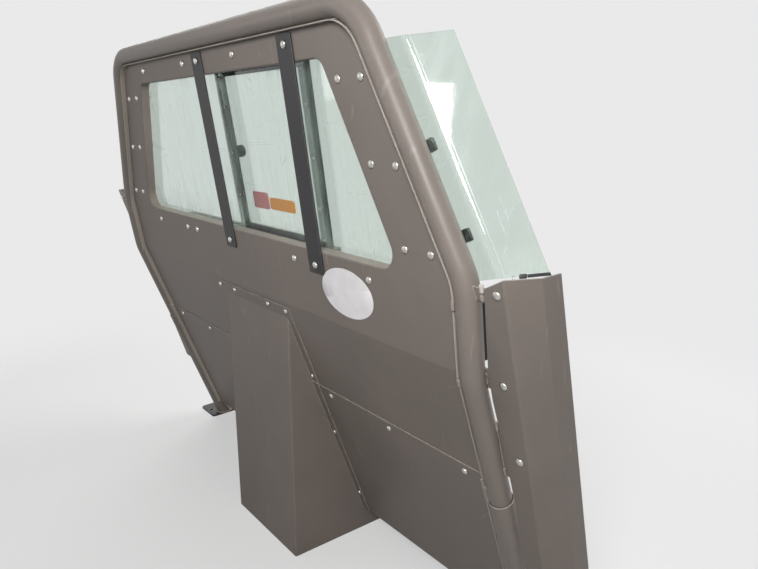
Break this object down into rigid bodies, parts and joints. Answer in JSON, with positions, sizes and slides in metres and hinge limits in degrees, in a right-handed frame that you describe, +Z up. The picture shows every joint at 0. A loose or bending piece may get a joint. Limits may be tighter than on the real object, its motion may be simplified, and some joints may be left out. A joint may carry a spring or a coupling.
{
  "type": "prisoner partition",
  "caption": "Tubular steel partition between front and rear seats: lipped window with sliding pass-through hatch, floor-hump cover, side wings.",
  "frame": {"origin": "midway between the four floor bolts, on the underside of the foot plates", "axes": "+X to the vehicle's right, +Y to its front, +Z up; the rear seat is on the -Y side"},
  "size_m": [1.508, 0.3741, 1.1709],
  "materials": {
    "taupe_coat": "fine textured warm grey powder coat",
    "black_coat": "black satin coat",
    "clear_plastic": "clear scratched polycarbonate",
    "black_rubber": "matt black edge trim",
    "black_plastic": "moulded black"
  },
  "bodies": {
    "partition": {"hoop_frame": "taupe_coat", "main_panel": "taupe_coat", "lower_panel_right": "taupe_coat", "lower_panel_left": "taupe_coat", "hump_cover": "taupe_coat", "leg_right": "taupe_coat", "leg_left": "taupe_coat", "foot_right": "black_coat", "foot_left": "black_coat", "wing_right": "taupe_coat", "wing_left": "taupe_coat", "wing_pane_right": "clear_plastic", "wing_pane_left": "clear_plastic", "wing_trim_right": "black_rubber", "wing_trim_left": "black_rubber", "side_window_right": "clear_plastic", "side_window_left": "clear_plastic", "strap_right": "black_coat", "strap_left": "black_coat", "hatch_rail_low": "black_coat", "hatch_rail_high": "black_coat", "pillar_bracket_right": "black_coat", "pillar_bracket_left": "black_coat"},
    "hatch": {"hatch_frame": "black_coat", "hatch_window": "clear_plastic", "hatch_pull": "black_plastic"}
  },
  "joints": [
    {"name": "hatch_slide", "type": "slide", "parent": "partition", "child": "hatch", "axis": [-1, 0, 0], "range_m": [0, 0.27]}
  ]
}
